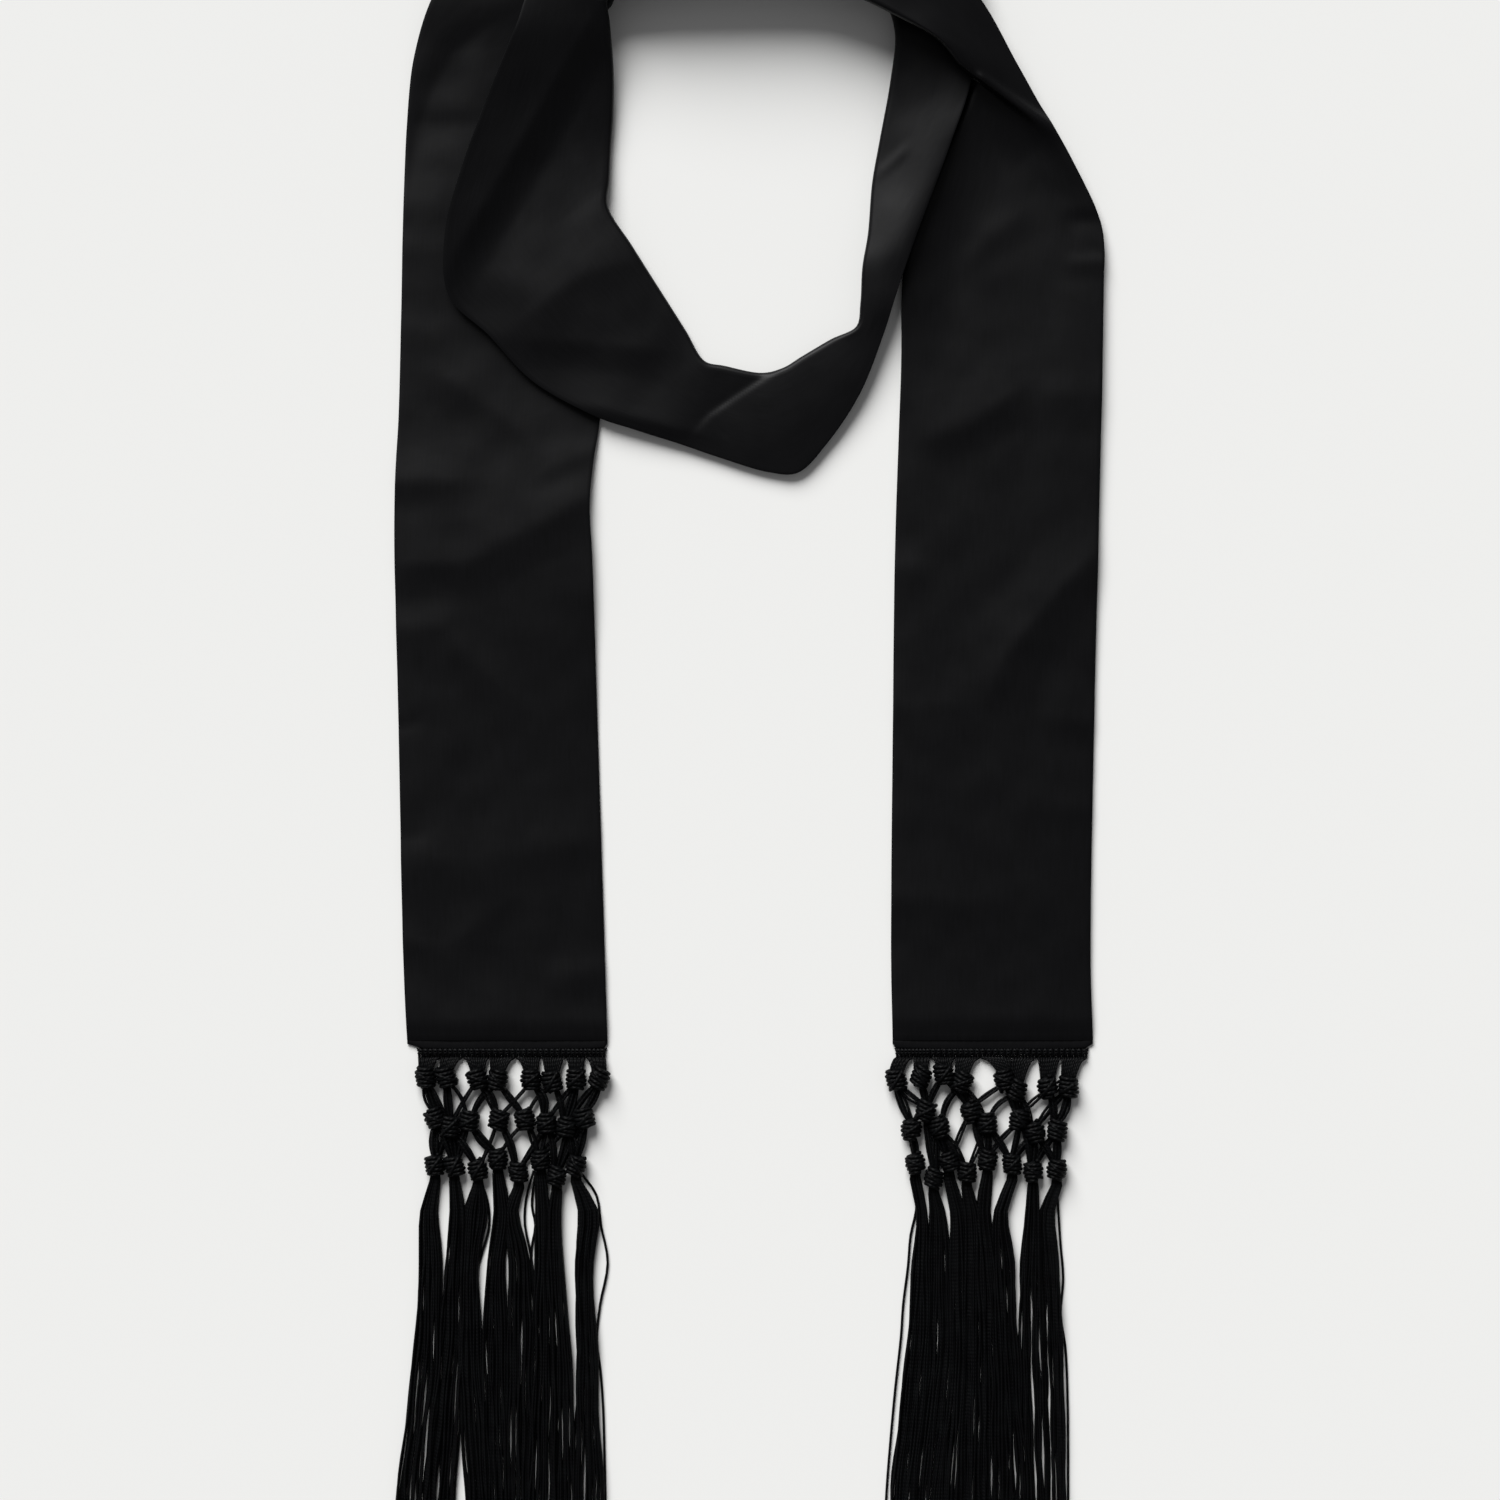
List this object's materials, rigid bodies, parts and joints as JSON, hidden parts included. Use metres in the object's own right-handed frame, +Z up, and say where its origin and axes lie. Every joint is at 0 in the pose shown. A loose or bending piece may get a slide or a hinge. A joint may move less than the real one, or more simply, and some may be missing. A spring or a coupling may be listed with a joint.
{
  "type": "skinny scarf",
  "caption": "Long narrow satin scarf with knotted net fringe at both ends, wrapped once as round a neck and laid flat.",
  "frame": {"origin": "middle of the scarf's underside as it lies, on the surface that it lies on", "axes": "+X to the right of the scarf seen from above with its tails towards the viewer, +Y along the tails to the back of the neck, +Z up from the surface"},
  "size_m": [0.2834, 0.6812, 0.0229],
  "materials": {
    "satin": "black polyester satin with a soft directional sheen",
    "fringe_cord": "black twisted viscose cord, slightly glossy"
  },
  "bodies": {
    "root": {"satin_band": "satin", "left_hem": "satin", "right_hem": "satin", "left_header_braid": "fringe_cord", "left_knot_net": "fringe_cord", "left_tassel_1": "fringe_cord", "left_tassel_2": "fringe_cord", "left_tassel_3": "fringe_cord", "left_tassel_4": "fringe_cord", "left_tassel_5": "fringe_cord", "left_tassel_6": "fringe_cord", "left_tassel_7": "fringe_cord", "left_tassel_8": "fringe_cord", "right_header_braid": "fringe_cord", "right_knot_net": "fringe_cord", "right_tassel_1": "fringe_cord", "right_tassel_2": "fringe_cord", "right_tassel_3": "fringe_cord", "right_tassel_4": "fringe_cord", "right_tassel_5": "fringe_cord", "right_tassel_6": "fringe_cord", "right_tassel_7": "fringe_cord", "right_tassel_8": "fringe_cord"}
  },
  "joints": []
}
